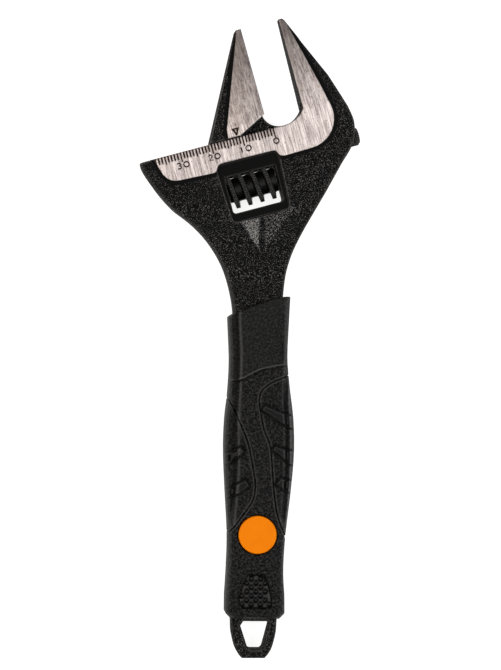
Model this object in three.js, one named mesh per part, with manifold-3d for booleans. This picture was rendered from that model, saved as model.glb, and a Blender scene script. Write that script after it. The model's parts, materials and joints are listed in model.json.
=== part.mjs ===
// Adjustable wrench, 200 mm long, with wide thin jaws, a millimetre scale and a moulded grip.
// Millimetres. The wrench lies on its back: +Y runs from the hanging eye to the jaws, +X is to the
// right of the scale, +Z points out of the scale face, and the origin is the bottom centre of its box.
//
// Two frames are used. The handle frame has its origin in the middle of the thickness, just above
// the end of the tang. The head frame is turned by HEAD_TILT: u runs along the slide towards the
// fixed jaw, v runs along the jaws, and u = v = 0 is near the zero of the scale.

import * as THREE from "three";
import { mergeVertices } from "three/addons/utils/BufferGeometryUtils.js";
import Module from "manifold-3d";

const wasm = await Module();
wasm.setup();

// Head
const HEAD_TILT = THREE.MathUtils.degToRad(15.7);
const HEAD_X = 3.6;
const HEAD_Y = 164.8;
const BAND_TOP = 0.3;
const BAND_LEFT = -43;
const FIXED_FACE = 10.3;
const JAW_GAP = 12.2;
const MOVING_FACE = FIXED_FACE - JAW_GAP;
const JAW_TOP = 32.9;
const FORGED_HALF = 5.8;
const PAD_HALF = 6.6;
const PAD_SLOPE = 0.8;
const PAD_SLOPE_RUN = 1.5;
const EDGE_ROUND = 0.5;
const TAPER_START = 4;
const TIP_SCALE = 0.41;
const NECK_START = 146;
const NECK_END = 103;
const NECK_SCALE = 0.76;
const CLEARANCE = 0.3;

// Slide bar, worm and pin
const BAR_AXIS = -8.4;
const BAR_RADIUS = 3;
const BAR_LEFT = -24;
const BAR_RIGHT = 25.7;
const WEB_HALF = 1.9;
const WORM_AXIS = -15.2;
const WORM_RADIUS = 5.85;
const WORM_ROOT = 3.5;
const WORM_LEFT = -18.5;
const WORM_RIGHT = -3;
const PITCH = 3.9;
const THREAD_BOTTOM = -12.65;
const THREAD_CREST = 1.3;
const THREAD_BASE = 1.9;
const TOOTH_DEPTH = 2.3;
const PIN_RADIUS = 1.4;
const PIN_HEAD_RADIUS = 2.05;
const PIN_LEFT = -36.7;
const PIN_RIGHT = 5;
const PIN_HEAD_LENGTH = 3;
const WINDOW_LEFT = -18.9;
const WINDOW_RIGHT = -2.6;
const WINDOW_BOTTOM = -22.4;
const WINDOW_CORNER = 1;
const POCKET_DEPTH = 1.4;
const SPRING_WIRE = 0.3;
const SPRING_RADIUS = 1.95;
const SPRING_SEAT_DEPTH = 2.6;
const SPRING_TURNS = 4;

// Handle
const SHANK_HALF = 3.3;
const TANG_HALF = 3;
const TANG_X = -0.25;
const TANG_BOTTOM = -0.9;
const TANG_END = 3.6;
const EYE_CHAMFER = 0.6;
const SHANK_HALF_WIDTH = 5.6;
const GRIP_HALF = 7.4;
const GRIP_BOTTOM = 11.7;
const BUTT_HALF = 7.6;
const BUTT_CHAMFER = 1.7;
const GRIP_ROUND = 2.8;
const GRIP_ROUND_DEPTH = 3.4;
const PANEL_THICKNESS = 1.6;
const BADGE_X = 0.15;
const BADGE_Y = 38.3;
const BADGE_RADIUS = 5.95;
const BADGE_SEAT = 1.6;
const BADGE_PROUD = 0.7;
const FAR = 80;

// Materials
const metal = (color, roughness, metalness) =>
  new THREE.MeshStandardMaterial({ color, roughness, metalness });
const blackSteel = () => metal(0x1d1e1f, 0.55, 0.8);
const brightSteel = () => metal(0xb9b2ae, 0.35, 1);
const springSteel = () => metal(0x8d8f92, 0.3, 1);
const gripRubber = () => metal(0x1b1c1e, 0.85, 0);
const orangePlastic = () => metal(0xff8a00, 0.45, 0);

// ---- Solids ---------------------------------------------------------------------------------

// A closed geometry becomes a solid once its shared vertices are merged.
function solid(geometry) {
  const plain = geometry.clone();
  plain.deleteAttribute("normal");
  plain.deleteAttribute("uv");
  const merged = mergeVertices(plain, 1e-4);
  const corners = merged.index.array;
  const kept = [];
  for (let i = 0; i < corners.length; i += 3) {
    const [a, b, c] = [corners[i], corners[i + 1], corners[i + 2]];
    if (a !== b && b !== c && c !== a) {
      kept.push(a, b, c);
    }
  }
  const mesh = new wasm.Mesh({
    numProp: 3,
    vertProperties: new Float32Array(merged.attributes.position.array),
    triVerts: new Uint32Array(kept),
  });
  return new wasm.Manifold(mesh);
}

function geometryOf(shape) {
  const mesh = shape.getMesh();
  const geometry = new THREE.BufferGeometry();
  geometry.setAttribute("position", new THREE.BufferAttribute(new Float32Array(mesh.vertProperties), 3));
  geometry.setIndex(new THREE.BufferAttribute(new Uint32Array(mesh.triVerts), 1));
  return geometry;
}

// Cutting can leave loose crumbs thinner than a hair, so a piece is the largest body of its shape.
function largestBody(shape) {
  const bodies = solid(geometryOf(shape)).decompose();
  return bodies.reduce((best, body) => (body.volume() > best.volume() ? body : best));
}

function node(name, shape, material) {
  const geometry = geometryOf(largestBody(shape));
  geometry.computeVertexNormals();
  const mesh = new THREE.Mesh(geometry, material);
  mesh.name = name;
  return mesh;
}

// An outline pushed out to half its thickness on both sides of the middle plane.
function slab(outline, half, curveSegments = 6) {
  const depth = 2 * half;
  const geometry = new THREE.ExtrudeGeometry(outline, { depth, bevelEnabled: false, curveSegments });
  return geometry.translate(0, 0, -half);
}

// A slab whose edges are rounded: inset is how far the flat face stays inside the outline.
function roundedSlab(outline, half, inset, roundDepth, bevelSegments, curveSegments = 6) {
  const depth = 2 * (half - roundDepth);
  const geometry = new THREE.ExtrudeGeometry(outline, {
    depth,
    bevelEnabled: true,
    bevelThickness: roundDepth,
    bevelSize: inset,
    bevelOffset: -inset,
    bevelSegments,
    curveSegments,
  });
  return geometry.translate(0, 0, -depth / 2);
}

// A slab whose whole outline is moved outwards.
function grownSlab(outline, half, growth, curveSegments = 6) {
  const geometry = new THREE.ExtrudeGeometry(outline, {
    depth: 2 * half,
    bevelEnabled: true,
    bevelThickness: 0,
    bevelSize: 0,
    bevelOffset: growth,
    bevelSegments: 1,
    curveSegments,
  });
  return geometry.translate(0, 0, -half);
}

const shapeOf = (points) => new THREE.Shape(points.map(([x, y]) => new THREE.Vector2(x, y)));
const vectors = (points) => points.map(([x, y]) => new THREE.Vector2(x, y));

function box(left, right, bottom, top, half) {
  const geometry = new THREE.BoxGeometry(right - left, top - bottom, 2 * half);
  return geometry.translate((left + right) / 2, (bottom + top) / 2, 0);
}

// A rod along u at height v, from one end to the other.
function rod(radius, left, right, v, sides) {
  const geometry = new THREE.CylinderGeometry(radius, radius, right - left, sides);
  return geometry.rotateZ(-Math.PI / 2).translate((left + right) / 2, v, 0);
}

// A body of revolution about a line along u at height v; the profile holds [radius, u] pairs.
function turned(profile, v, sides) {
  const geometry = new THREE.LatheGeometry(vectors(profile), sides);
  return geometry.rotateZ(-Math.PI / 2).translate(0, v, 0);
}

// Head frame to handle frame and back.
const headMatrix = new THREE.Matrix4().makeTranslation(HEAD_X, HEAD_Y, 0);
headMatrix.multiply(new THREE.Matrix4().makeRotationZ(HEAD_TILT));
const handleMatrix = headMatrix.clone().invert();

function inHead(x, y) {
  const point = new THREE.Vector3(x, y, 0).applyMatrix4(handleMatrix);
  return [point.x, point.y];
}

// The thickness shrinks in proportion to the distance past a line, so flat faces stay flat.
function taper(shape, shrink) {
  return shape.warp((point) => {
    point[2] *= shrink(point[0], point[1]);
  });
}

const jawShrink = (u, v) => 1 - ((1 - TIP_SCALE) * (v - TAPER_START)) / (JAW_TOP - TAPER_START);

// The part of a head solid above TAPER_START gets thinner towards the jaw tips.
function taperedJaw(shape) {
  const below = shape.intersect(solid(box(-FAR, FAR, -2 * FAR, TAPER_START, FAR)));
  const thinned = taper(shape, jawShrink);
  const above = thinned.intersect(solid(box(-FAR, FAR, TAPER_START, FAR, FAR)));
  return below.add(above);
}

// ---- Forged body ----------------------------------------------------------------------------

// The throat between the jaws is an arc from the band's top edge to the fixed jaw's face.
const THROAT_U = 3;
const THROAT_RADIUS = 9.3;
const THROAT_V = BAND_TOP + THROAT_RADIUS;
const throatEnd = Math.asin((FIXED_FACE - THROAT_U) / THROAT_RADIUS) - Math.PI / 2;

// Head and neck, seen from the scale side, in the head frame.
function forgingOutline() {
  const rightNeck = [[7, NECK_END], [7.5, 115], [8.9, 123], [12.4, 131.5], [20.2, 145.5], [25.3, 155]];
  const rightEnd = [[27.3, 158.3], [28.7, 161.5], [29, 164.8], [28.5, 168.5], [26.6, 172.6]];
  const leftEnd = [[-37.2, 151.4], [-35, 148], [-30.9, 142.7], [-27, 138.7]];
  const leftNeck = [[-21.1, 134.3], [-15.8, 128.6], [-11.4, 121.1], [-8.7, 112], [-7.6, NECK_END]];
  const SHOULDER = [20.9, 12];
  const TIP_WIDTH = 1.7;
  const TIP_CHAMFER = [0.6, 0.7];
  const start = inHead(...rightNeck[0]);
  const outline = new THREE.Shape();
  outline.moveTo(...start);
  outline.splineThru(vectors(rightNeck.slice(1).map((point) => inHead(...point))));
  outline.splineThru(vectors(rightEnd.map((point) => inHead(...point))));
  outline.lineTo(...SHOULDER);
  outline.lineTo(FIXED_FACE + TIP_WIDTH, JAW_TOP - TIP_CHAMFER[1]);
  outline.lineTo(FIXED_FACE + TIP_WIDTH - TIP_CHAMFER[0], JAW_TOP);
  outline.lineTo(FIXED_FACE, JAW_TOP);
  outline.lineTo(FIXED_FACE, THROAT_V + THROAT_RADIUS * Math.sin(throatEnd));
  outline.absarc(THROAT_U, THROAT_V, THROAT_RADIUS, throatEnd, -Math.PI / 2, true);
  outline.lineTo(BAND_LEFT, BAND_TOP);
  outline.splineThru(vectors(leftEnd.map((point) => inHead(...point))));
  outline.splineThru(vectors(leftNeck.map((point) => inHead(...point))));
  return outline;
}

// The ground bright face: scale band, root and fixed jaw.
function padOutline() {
  const CORNER_U = 9.7;
  const CORNER_V = 0.8;
  const CORNER_RADIUS = 9.2;
  const lean = THREE.MathUtils.degToRad(14);
  const outline = new THREE.Shape();
  outline.moveTo(FIXED_FACE, JAW_TOP + 1);
  outline.lineTo(FIXED_FACE, THROAT_V + THROAT_RADIUS * Math.sin(throatEnd));
  outline.absarc(THROAT_U, THROAT_V, THROAT_RADIUS, throatEnd, -Math.PI / 2, true);
  outline.lineTo(-38.5, BAND_TOP);
  outline.lineTo(-37.5, -3.5);
  outline.quadraticCurveTo(-36.4, -7.8, -32.5, -7.8);
  outline.lineTo(-22.1, -8.3);
  outline.quadraticCurveTo(-20.9, -8.3, -20.4, -7);
  outline.quadraticCurveTo(-20, -6.1, -18.9, -6.1);
  outline.lineTo(-2.2, -6.2);
  outline.quadraticCurveTo(-1.2, -6.3, -0.7, -7.5);
  outline.quadraticCurveTo(-0.2, -8.6, 1.3, -8.6);
  outline.lineTo(CORNER_U, CORNER_V - CORNER_RADIUS);
  outline.absarc(CORNER_U, CORNER_V, CORNER_RADIUS, -Math.PI / 2, lean, false);
  outline.lineTo(FIXED_FACE + 1.4, JAW_TOP);
  outline.lineTo(FIXED_FACE + 1.2, JAW_TOP + 1);
  return outline;
}

// The raised face has a sloped edge and ends flush with the edges of the forging.
function raisedPad(padShape, limit) {
  const depth = 2 * (PAD_HALF - PAD_SLOPE);
  const geometry = new THREE.ExtrudeGeometry(padShape, {
    depth,
    bevelEnabled: true,
    bevelThickness: PAD_SLOPE,
    bevelSize: PAD_SLOPE_RUN,
    bevelSegments: 1,
    curveSegments: 5,
  });
  return solid(geometry.translate(0, 0, -depth / 2)).intersect(solid(slab(limit, PAD_HALF, 4)));
}

// The window goes right through; its lower corners are round.
function windowOutline(top) {
  const outline = new THREE.Shape();
  outline.moveTo(WINDOW_RIGHT, top);
  outline.lineTo(WINDOW_LEFT, top);
  outline.lineTo(WINDOW_LEFT, WINDOW_BOTTOM + WINDOW_CORNER);
  outline.quadraticCurveTo(WINDOW_LEFT, WINDOW_BOTTOM, WINDOW_LEFT + WINDOW_CORNER, WINDOW_BOTTOM);
  outline.lineTo(WINDOW_RIGHT - WINDOW_CORNER, WINDOW_BOTTOM);
  outline.quadraticCurveTo(WINDOW_RIGHT, WINDOW_BOTTOM, WINDOW_RIGHT, WINDOW_BOTTOM + WINDOW_CORNER);
  return outline;
}

// The recess around the worm, cut into both faces, with the window right through inside it.
function wormWindow() {
  const recess = new THREE.Shape();
  recess.moveTo(-19.2, -6.6);
  recess.lineTo(-2.4, -6.6);
  recess.quadraticCurveTo(-0.8, -6.7, -0.7, -9);
  recess.lineTo(-1.3, -23.5);
  recess.quadraticCurveTo(-1.5, -25.2, -3.2, -25.2);
  recess.lineTo(-18.2, -25.2);
  recess.quadraticCurveTo(-19.8, -25.2, -19.9, -23.5);
  recess.lineTo(-20.7, -9);
  recess.quadraticCurveTo(-20.8, -6.7, -19.2, -6.6);
  const recessSlab = slab(recess, FAR, 3);
  const middle = box(-FAR, FAR, -FAR, FAR, FORGED_HALF - POCKET_DEPTH);
  // The window ends where the worm's round chamber comes out into the recess.
  const chamberRadius = WORM_RADIUS + CLEARANCE;
  const top = WORM_AXIS + Math.sqrt(chamberRadius ** 2 - (FORGED_HALF - POCKET_DEPTH) ** 2);
  const through = solid(slab(windowOutline(top), FAR, 4));
  const chamber = solid(rod(chamberRadius, WINDOW_LEFT, WINDOW_RIGHT, WORM_AXIS, 48));
  return solid(recessSlab).subtract(solid(middle)).add(through).add(chamber);
}

// The thumb hollow is a wide, shallow trough that runs from the window along the handle. Its flat
// sides meet in a soft bottom line, which rises until the trough fades out in a point.
function thumbHollow(side) {
  const HALF_WIDTH = 30;
  const SOFT_HALF = 1.5;
  const LENGTH = 40;
  const DEPTH = 1.7;
  const START_U = -9.7;
  const steepness = Math.tan(THREE.MathUtils.degToRad(10));
  const fade = THREE.MathUtils.degToRad(6.1);
  const section = new THREE.Shape();
  section.moveTo(-HALF_WIDTH, HALF_WIDTH * steepness);
  section.lineTo(-SOFT_HALF, SOFT_HALF * steepness);
  section.quadraticCurveTo(0, 0, SOFT_HALF, SOFT_HALF * steepness);
  section.lineTo(HALF_WIDTH, HALF_WIDTH * steepness);
  const settings = { depth: LENGTH, bevelEnabled: false, curveSegments: 6 };
  const trough = new THREE.ExtrudeGeometry(section, settings).rotateX(Math.PI / 2).rotateX(-fade);
  if (side < 0) {
    trough.rotateY(Math.PI);
  }
  trough.rotateZ(-HEAD_TILT).translate(START_U, WINDOW_BOTTOM, side * (FORGED_HALF - DEPTH));
  return solid(trough);
}

// Slot for the jaw's web, bore for its bar, and the bores of the worm pin.
function headPassages() {
  const slot = box(-FAR, FIXED_FACE + 6, BAR_AXIS, 6, WEB_HALF + CLEARANCE);
  const barBore = rod(BAR_RADIUS + CLEARANCE, -FAR, FAR, BAR_AXIS, 32);
  const pinBore = rod(PIN_RADIUS + CLEARANCE, -FAR, PIN_RIGHT + CLEARANCE, WORM_AXIS, 20);
  const headEnd = PIN_LEFT + PIN_HEAD_LENGTH + CLEARANCE;
  const headBore = rod(PIN_HEAD_RADIUS + CLEARANCE, -FAR, headEnd, WORM_AXIS, 24);
  return [slot, barBore, pinBore, headBore].map(solid).reduce((all, cut) => all.add(cut));
}

// The tang's sides, as distances from its middle line and heights; its end is straight.
const TANG_SIDE = [[4.5, 0.1], [5.8, 2.4], [6.8, 6.2], [7.1, 8.3], [7.3, GRIP_BOTTOM + 1]];

function shankOutline() {
  const rightSide = TANG_SIDE.map(([x, y]) => [TANG_X + x, y]);
  const leftSide = TANG_SIDE.map(([x, y]) => [TANG_X - x, y]).reverse();
  const outline = new THREE.Shape();
  outline.moveTo(TANG_X - TANG_END, TANG_BOTTOM);
  outline.lineTo(TANG_X + TANG_END, TANG_BOTTOM);
  outline.lineTo(...rightSide[0]);
  outline.splineThru(vectors(rightSide.slice(1)));
  outline.lineTo(SHANK_HALF_WIDTH, GRIP_BOTTOM + 5);
  outline.lineTo(SHANK_HALF_WIDTH, NECK_END + 2);
  outline.lineTo(-SHANK_HALF_WIDTH, NECK_END + 2);
  outline.lineTo(-SHANK_HALF_WIDTH, GRIP_BOTTOM + 5);
  outline.lineTo(...leftSide[0]);
  outline.splineThru(vectors(leftSide.slice(1)));
  return outline;
}

// The hanging eye is a trapezoid with soft corners, wide at the grip.
function eyeOutline() {
  const outline = new THREE.Shape();
  outline.moveTo(-1.2, 2);
  outline.lineTo(1.5, 2);
  outline.quadraticCurveTo(2.2, 2, 2.6, 3);
  outline.lineTo(4.3, 9.7);
  outline.quadraticCurveTo(4.4, 10.6, 3.8, 10.7);
  outline.lineTo(-3.5, 10.7);
  outline.lineTo(-4.4, 9.3);
  outline.lineTo(-2.3, 3);
  outline.quadraticCurveTo(-1.9, 2, -1.2, 2);
  return outline;
}

// The eye goes right through and its edges are chamfered on both faces.
function eyeCut() {
  const ABOVE = 1;
  const chamfer = new THREE.ExtrudeGeometry(eyeOutline(), {
    depth: ABOVE,
    bevelEnabled: true,
    bevelThickness: EYE_CHAMFER,
    bevelSize: EYE_CHAMFER,
    bevelSegments: 1,
    curveSegments: 4,
  });
  const front = solid(chamfer.clone().translate(0, 0, TANG_HALF));
  const back = solid(chamfer.clone().translate(0, 0, -TANG_HALF - ABOVE));
  return solid(slab(eyeOutline(), FAR, 4)).add(front).add(back);
}

function shank() {
  const tang = solid(roundedSlab(shankOutline(), TANG_HALF, 0.6, 0.6, 2, 4));
  const bottom = GRIP_BOTTOM + 6;
  const stiffener = solid(box(-SHANK_HALF_WIDTH, SHANK_HALF_WIDTH, bottom, NECK_END + 2, SHANK_HALF));
  return tang.add(stiffener).subtract(eyeCut());
}

// Forged block with its ground faces, thinned at the jaw and at the neck.
function headBlock() {
  const outline = forgingOutline();
  const forged = solid(roundedSlab(outline, FORGED_HALF, EDGE_ROUND, 1.3, 3, 4));
  const block = taperedJaw(forged.add(raisedPad(padOutline(), outline)));
  const cuts = [wormWindow(), headPassages(), thumbHollow(1), thumbHollow(-1)];
  const cut = cuts.reduce((rest, passage) => rest.subtract(passage), block);
  return cut.transform(headMatrix.elements);
}

// The neck gets thinner from NECK_START down to the grip.
const neckShrink = (x, y) => 1 - ((1 - NECK_SCALE) * (NECK_START - y)) / (NECK_START - NECK_END);

function wrenchBody() {
  const block = headBlock();
  const head = block.intersect(solid(box(-FAR, FAR, NECK_START, 3 * FAR, FAR)));
  const thinned = taper(block, neckShrink);
  const neck = thinned.intersect(solid(box(-FAR, FAR, 0, NECK_START, FAR)));
  return head.add(neck).add(shank());
}

// ---- Moving jaw -----------------------------------------------------------------------------

const BLADE_BOTTOM = BAND_TOP + CLEARANCE;
const BLADE_HEEL = 5.2;
const BLADE_RIGHT = -10.8;
const BLADE_LEFT = -20.6;
const BLADE_PAD_LEFT = -14.2;

function bladeOutline() {
  return shapeOf([
    [MOVING_FACE, BLADE_HEEL], [MOVING_FACE, JAW_TOP], [MOVING_FACE - 1.6, JAW_TOP],
    [MOVING_FACE - 2.1, JAW_TOP - 0.5], [BLADE_LEFT, BLADE_BOTTOM], [BLADE_RIGHT, BLADE_BOTTOM],
  ]);
}

function bladePadOutline() {
  return shapeOf([
    [MOVING_FACE, BLADE_HEEL], [MOVING_FACE, JAW_TOP + 1], [MOVING_FACE - 1.3, JAW_TOP + 1],
    [MOVING_FACE - 1.6, JAW_TOP - 1], [BLADE_PAD_LEFT, BLADE_BOTTOM + 2.9],
    [BLADE_PAD_LEFT - 0.3, BLADE_BOTTOM], [BLADE_RIGHT, BLADE_BOTTOM],
  ]);
}

// The thin web joins the blade to the bar; its toe curves down into the slot.
function webOutline() {
  const TOE_RADIUS = 5.5;
  const toe = new THREE.Vector2(3.2, BLADE_BOTTOM + TOE_RADIUS - 0.1);
  const outline = new THREE.Shape();
  outline.moveTo(BLADE_LEFT, BAR_AXIS);
  outline.lineTo(toe.x, BAR_AXIS);
  outline.lineTo(toe.x, toe.y - TOE_RADIUS);
  outline.absarc(toe.x, toe.y, TOE_RADIUS, -Math.PI / 2, Math.PI + 0.05, true);
  outline.lineTo(MOVING_FACE - 2, BLADE_HEEL + 1);
  outline.lineTo(BLADE_LEFT + 0.9, BLADE_BOTTOM + 1);
  outline.lineTo(BLADE_LEFT, BLADE_BOTTOM);
  return outline;
}

// Rack teeth on the underside of the bar lean by the worm's lead angle.
function rackGaps() {
  const lead = Math.atan(PITCH / (2 * Math.PI * WORM_RADIUS));
  const topWidth = THREAD_CREST + 2 * CLEARANCE;
  const bottomWidth = THREAD_BASE + 2 * CLEARANCE + 0.3;
  const floor = BAR_AXIS - BAR_RADIUS + TOOTH_DEPTH;
  const low = BAR_AXIS - BAR_RADIUS - 0.3;
  const gapShape = shapeOf([
    [-bottomWidth / 2, low], [bottomWidth / 2, low], [topWidth / 2, floor], [-topWidth / 2, floor],
  ]);
  const shear = new THREE.Matrix4().makeShear(0, 0, 0, 0, Math.tan(lead), 0);
  const gap = slab(gapShape, 2 * BAR_RADIUS).applyMatrix4(shear);
  const first = THREAD_BOTTOM - PITCH / 2 - 2 * PITCH;
  const gaps = [];
  for (let u = first; u < BAR_RIGHT - BAR_RADIUS; u += PITCH) {
    gaps.push(solid(gap.clone().translate(u, 0, 0)));
  }
  return gaps.reduce((all, cut) => all.add(cut));
}

function movableJaw() {
  const outline = bladeOutline();
  const blade = solid(slab(outline, FORGED_HALF)).add(raisedPad(bladePadOutline(), outline));
  const web = solid(slab(webOutline(), WEB_HALF, 5));
  const profile = [
    [0, BAR_LEFT], [BAR_RADIUS - 0.5, BAR_LEFT], [BAR_RADIUS, BAR_LEFT + 0.5],
    [BAR_RADIUS, BAR_RIGHT - 0.8], [BAR_RADIUS - 0.8, BAR_RIGHT], [0, BAR_RIGHT],
  ];
  const bar = turned(profile, BAR_AXIS, 28);
  return taperedJaw(blade).add(web).add(solid(bar).subtract(rackGaps()));
}

// ---- Worm, pin and spring -------------------------------------------------------------------

// Across the axis a single thread shows as a cam; drawn out along the axis and twisted, it winds.
function wormThread() {
  const crestAngle = (2 * Math.PI * THREAD_CREST) / PITCH;
  const baseAngle = (2 * Math.PI * THREAD_BASE) / PITCH;
  const flank = (baseAngle - crestAngle) / 2;
  const section = new THREE.Shape();
  section.absarc(0, 0, WORM_RADIUS, -crestAngle / 2, crestAngle / 2, false);
  section.absarc(0, 0, WORM_ROOT, crestAngle / 2 + flank, 2 * Math.PI - crestAngle / 2 - flank, false);
  const length = WORM_RIGHT - WORM_LEFT;
  const turns = length / PITCH;
  const stepsPerTurn = 20;
  const steps = Math.ceil(turns * stepsPerTurn);
  const settings = { depth: length, steps, bevelEnabled: false, curveSegments: 6 };
  const thread = new THREE.ExtrudeGeometry(section, settings);
  const position = thread.attributes.position;
  const turn = new THREE.Matrix4();
  const point = new THREE.Vector3();
  for (let i = 0; i < position.count; i += 1) {
    point.fromBufferAttribute(position, i);
    turn.makeRotationZ((2 * Math.PI * point.z) / PITCH);
    point.applyMatrix4(turn);
    position.setXYZ(i, point.x, point.y, point.z);
  }
  return thread;
}

function adjustingWorm() {
  const phase = (2 * Math.PI * (WORM_LEFT - THREAD_BOTTOM)) / PITCH + Math.PI;
  const thread = wormThread().rotateZ(phase);
  // The thread's section plane goes to v, z and its axis to u.
  const toAxis = new THREE.Matrix4().makeBasis(
    new THREE.Vector3(0, 1, 0), new THREE.Vector3(0, 0, 1), new THREE.Vector3(1, 0, 0),
  );
  thread.applyMatrix4(toAxis).translate(WORM_LEFT, WORM_AXIS, 0);
  const chamfer = 0.5;
  const blankRadius = WORM_RADIUS + 0.1;
  const profile = [
    [0, WORM_LEFT], [blankRadius - chamfer, WORM_LEFT], [blankRadius, WORM_LEFT + chamfer],
    [blankRadius, WORM_RIGHT - chamfer], [blankRadius - chamfer, WORM_RIGHT], [0, WORM_RIGHT],
  ];
  const blank = turned(profile, WORM_AXIS, 40);
  const bore = rod(PIN_RADIUS + CLEARANCE, WORM_LEFT - 1, WORM_RIGHT + 1, WORM_AXIS, 20);
  const springRoom = SPRING_RADIUS + SPRING_WIRE + CLEARANCE;
  const seat = rod(springRoom, WORM_LEFT - 1, WORM_LEFT + SPRING_SEAT_DEPTH, WORM_AXIS, 20);
  return solid(thread).intersect(solid(blank)).subtract(solid(bore)).subtract(solid(seat));
}

// A slotted screw head in the edge of the head, and a plain shaft that carries the worm.
function wormPin() {
  const neck = PIN_LEFT + PIN_HEAD_LENGTH;
  const profile = [
    [0, PIN_LEFT], [PIN_HEAD_RADIUS - 0.3, PIN_LEFT], [PIN_HEAD_RADIUS, PIN_LEFT + 0.3],
    [PIN_HEAD_RADIUS, neck], [PIN_RADIUS, neck], [PIN_RADIUS, PIN_RIGHT - 0.4],
    [PIN_RADIUS - 0.4, PIN_RIGHT], [0, PIN_RIGHT],
  ];
  const shape = turned(profile, WORM_AXIS, 20);
  const slotHalf = 0.3;
  const driverSlot = box(PIN_LEFT - 1, PIN_LEFT + 1, WORM_AXIS - slotHalf, WORM_AXIS + slotHalf, FAR);
  return solid(shape).subtract(solid(driverSlot));
}

class Helix extends THREE.Curve {
  constructor(left, right) {
    super();
    this.left = left;
    this.right = right;
  }

  getPoint(t, target = new THREE.Vector3()) {
    const angle = 2 * Math.PI * SPRING_TURNS * t;
    const u = THREE.MathUtils.lerp(this.left, this.right, t);
    return target.set(u, WORM_AXIS + SPRING_RADIUS * Math.cos(angle), SPRING_RADIUS * Math.sin(angle));
  }
}

function wormSpring() {
  const margin = SPRING_WIRE + 0.1;
  const path = new Helix(WINDOW_LEFT + margin, WORM_LEFT + SPRING_SEAT_DEPTH - margin);
  const wire = new THREE.Shape().absarc(0, 0, SPRING_WIRE, 0, 2 * Math.PI, false);
  const steps = SPRING_TURNS * 14;
  return solid(new THREE.ExtrudeGeometry(wire, { steps, extrudePath: path, curveSegments: 3 }));
}

// ---- Grip -----------------------------------------------------------------------------------

const GRIP_RIGHT = [
  [9.2, 19], [8.7, 27], [9.2, 38], [10.5, 50], [11.5, 63], [11.2, 74], [9.9, 84], [9, 93], [9.2, 102],
];
const GRIP_LEFT = [
  [-9.4, 102], [-8.9, 92], [-9.3, 82], [-10.1, 74], [-10.3, 64], [-9.6, 51], [-8.75, 38], [-8.9, 27],
  [-9.3, 19],
];
// The collar's mouth rises from left to right.
const MOUTH = [[-9.9, 105.8], [-4.9, 108.5], [0, 110.4], [4.5, 111.9], [9.6, 112.7]];

// Sides of the grip, drawn on past its mouth, with the sides moved inwards by inset.
function gripOutline(inset) {
  const right = GRIP_RIGHT.map(([x, y]) => [x - inset, y]);
  const left = GRIP_LEFT.map(([x, y]) => [x + inset, y]);
  const outline = new THREE.Shape();
  outline.moveTo(-BUTT_HALF + inset, GRIP_BOTTOM);
  outline.lineTo(BUTT_HALF - inset, GRIP_BOTTOM);
  outline.lineTo(BUTT_HALF - inset + BUTT_CHAMFER, GRIP_BOTTOM + BUTT_CHAMFER);
  outline.lineTo(...right[0]);
  outline.splineThru(vectors(right.slice(1)));
  outline.lineTo(10 - inset, NECK_END + 20);
  outline.lineTo(-10.6 + inset, NECK_END + 20);
  outline.lineTo(...left[0]);
  outline.splineThru(vectors(left.slice(1)));
  outline.lineTo(-BUTT_HALF + inset - BUTT_CHAMFER, GRIP_BOTTOM + BUTT_CHAMFER);
  return outline;
}

function gripBlock(inset) {
  return solid(roundedSlab(gripOutline(inset), GRIP_HALF - inset, GRIP_ROUND, GRIP_ROUND_DEPTH, 4, 3));
}

function aboveMouth() {
  const outline = new THREE.Shape();
  outline.moveTo(-FAR, MOUTH[0][1] - 3);
  outline.lineTo(-12, MOUTH[0][1] - 1);
  outline.splineThru(vectors([...MOUTH, [12, 112.9]]));
  outline.lineTo(FAR, 113);
  outline.lineTo(FAR, 2 * FAR);
  outline.lineTo(-FAR, 2 * FAR);
  return outline;
}

// Soft side panels: their inner edges wander over the front and the back of the grip.
const RIGHT_PANEL_EDGE = [
  [10, 88.2], [4.8, 86], [1.4, 83.7], [0.2, 80.5], [0.9, 75.4], [2, 70.6], [3.9, 66], [4.5, 60],
  [5.2, 52], [6.3, 45], [8.3, 39.4], [9.6, 36.5],
];
const LEFT_PANEL_EDGE = [
  [-10.4, 82.6], [-8.3, 78], [-5.5, 72], [-3.3, 66.5], [-1.8, 59.5], [-0.9, 53.5], [-1.7, 49],
  [-4.4, 44.8], [-8.1, 39.7], [-10.2, 37],
];

// From its inner edge a panel reaches past the side of the grip: side is 1 on the right, -1 on the left.
function panelOutline(edge, side) {
  const BEYOND = 16;
  const outline = new THREE.Shape();
  outline.moveTo(...edge[0]);
  outline.splineThru(vectors(edge.slice(1)));
  outline.lineTo(side * BEYOND, edge[edge.length - 1][1]);
  outline.lineTo(side * BEYOND, edge[0][1]);
  return outline;
}

function sidePanel(outline) {
  const side = gripBlock(0).intersect(solid(slab(outline, FAR, 3)));
  return side.subtract(gripBlock(PANEL_THICKNESS));
}

function disc(radius, bottom, top) {
  const geometry = new THREE.CylinderGeometry(radius, radius, top - bottom, 36);
  return geometry.rotateX(Math.PI / 2).translate(BADGE_X, BADGE_Y, (bottom + top) / 2);
}

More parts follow.
